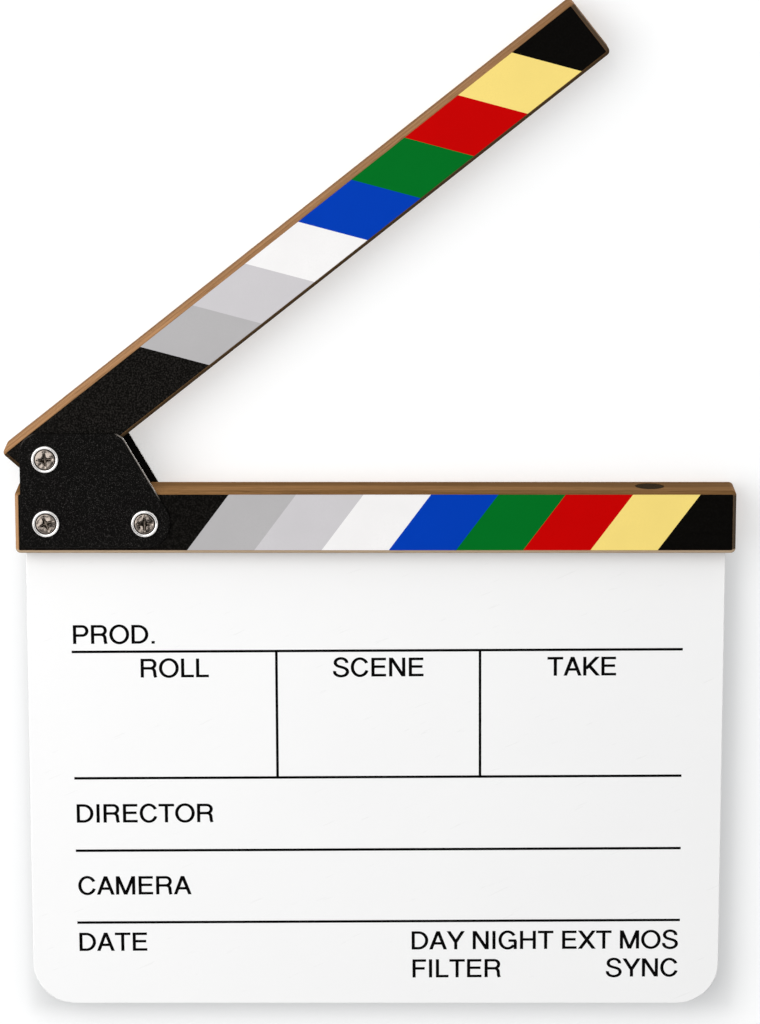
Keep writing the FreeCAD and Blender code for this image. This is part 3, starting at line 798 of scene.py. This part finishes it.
def seen_directly(tree):
    """1 for rays from the camera, in reflections and through clear things, and 0 for the rest."""
    path = add_node(tree, "ShaderNodeLightPath").outputs
    seen = path["Is Camera Ray"]
    for ray in ("Is Glossy Ray", "Is Transmission Ray"):
        seen = maths(tree, "MAXIMUM", seen, path[ray])
    return seen


def paper_material():
    """White from the front, where it also glows to the camera, a little near the clapperboard and fully
    far from it, and clear from behind."""
    material = bpy.data.materials.new("paper")
    material.use_nodes = True
    tree = material.node_tree
    tree.nodes.remove(tree.nodes["Principled BSDF"])
    paper = add_node(tree, "ShaderNodeBsdfDiffuse", {"Color": (PAPER_WHITE,) * 3 + (1,)})
    away = vector_maths(tree, "DISTANCE", geometry(tree, "Position"), LAMP_AIM, "Value")
    far = spread(tree, away, PAPER_NEAR, PAPER_FAR)
    glow = add_node(tree, "ShaderNodeEmission", {"Color": blend(tree, far, PAPER_GLOW, (1, 1, 1)),
                                                 "Strength": seen_directly(tree)})
    both = add_node(tree, "ShaderNodeAddShader", {0: paper.outputs[0], 1: glow.outputs[0]})
    clear = add_node(tree, "ShaderNodeBsdfTransparent")
    sides = {0: geometry(tree, "Backfacing"), 1: both.outputs[0], 2: clear.outputs[0]}
    mixed = add_node(tree, "ShaderNodeMixShader", sides)
    tree.links.new(mixed.outputs[0], tree.nodes["Material Output"].inputs["Surface"])
    return material


def add_paper():
    """A backdrop just behind the clapperboard, seen from the front only, and a floor from there and from
    the board to the rear."""
    y = cad_box[1].y + BACKDROP_GAP
    foot = cad_box[0].z
    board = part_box("slate_board")[1]
    paper = paper_material()
    backdrop = add_sheet("backdrop", [(y, BACKDROP_TOP), (y, BACKDROP_FOOT)], STAGE_REACH, paper)
    floor = add_sheet("floor", [(STAGE_REACH, foot), (y, foot)], STAGE_REACH, paper)
    strip = add_sheet("floor_strip", [(y, foot), (board.y, foot)], board.x - BOARD_CORNER, paper)
    for ray in ("diffuse", "glossy", "transmission", "shadow"):
        setattr(backdrop, "visible_" + ray, False)
    floor.visible_glossy = False
    strip.visible_glossy = False


def add_card(name, place, size, seen_by):
    """A dark upright card that only one kind of ray sees."""
    material, _, shader = new_material(name, 1.0, specular=0.0)
    shader.inputs["Base Color"].default_value = CARD_BLACK
    width, height = size
    mesh = bpy.data.meshes.new(name)
    corners = [(x * width / 2, 0, z * height / 2) for x, z in ((-1, -1), (-1, 1), (1, 1), (1, -1))]
    mesh.from_pydata(corners, [], [(0, 1, 2, 3)])
    mesh.materials.append(material)
    card = bpy.data.objects.new(name, mesh)
    card.location = place
    bpy.context.scene.collection.objects.link(card)
    for ray in ("camera", "diffuse", "glossy", "transmission", "shadow"):
        setattr(card, "visible_" + ray, ray == seen_by)


def add_cards():
    """A flag that metal reflects, as a dark studio behind a camera, and a card that dims the gap behind
    the board."""
    add_card("flag", FLAG_PLACE, FLAG_SIZE, "glossy")
    low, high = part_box("slate_board")
    left, right = low.x - GAP_CARD_LEFT, high.x + GAP_CARD_RIGHT
    foot = low.z - GAP_CARD_BELOW
    place = Vector(((left + right) / 2, high.y + GAP_CARD_BEHIND, (foot + high.z) / 2))
    add_card("gap_card", place, (right - left, high.z - foot), "diffuse")


def light_sky():
    """White surroundings: full white to the camera and in reflections, softer and brighter from above on
    matt surfaces."""
    world = bpy.data.worlds.new("studio")
    bpy.context.scene.world = world
    world.use_nodes = True
    tree = world.node_tree
    sky = tree.nodes["Background"]
    sky.inputs["Color"].default_value = (1, 1, 1, 1)
    way = add_node(tree, "ShaderNodeTexCoord").outputs["Generated"]
    towards = vector_maths(tree, "DOT_PRODUCT", way, SKY_TOWARDS, "Value")
    soft = spread(tree, towards, -1.0, 1.0, SKY_DIM, SKY_BRIGHT)
    tree.links.new(spread(tree, seen_directly(tree), 0.0, 1.0, soft, 1.0), sky.inputs["Strength"])


def add_lamp(name, place, side, power):
    """A square soft lamp aimed at the middle of the clapperboard."""
    light = bpy.data.lights.new(name, "AREA")
    light.shape = "SQUARE"
    light.size = side
    light.energy = power
    lamp = bpy.data.objects.new(name, light)
    lamp.location = place
    lamp.rotation_euler = (LAMP_AIM - place).to_track_quat("-Z", "Y").to_euler()
    bpy.context.scene.collection.objects.link(lamp)


def add_camera():
    data = bpy.data.cameras.new("camera")
    data.lens = CAMERA_LENS
    data.shift_x = CAMERA_SHIFT
    camera = bpy.data.objects.new("camera", data)
    camera.location = CAMERA_PLACE
    camera.rotation_euler = (math.pi / 2 - CAMERA_PITCH, 0, 0)
    bpy.context.scene.collection.objects.link(camera)
    bpy.context.scene.camera = camera


dress_solids()
add_bolts()
print_form()
add_paper()
add_cards()
light_sky()
add_lamp("key", KEY_PLACE, KEY_SIDE, KEY_POWER)
add_lamp("fill", FILL_PLACE, FILL_SIDE, FILL_POWER)
add_camera()
bpy.context.scene.view_settings.view_transform = "Standard"
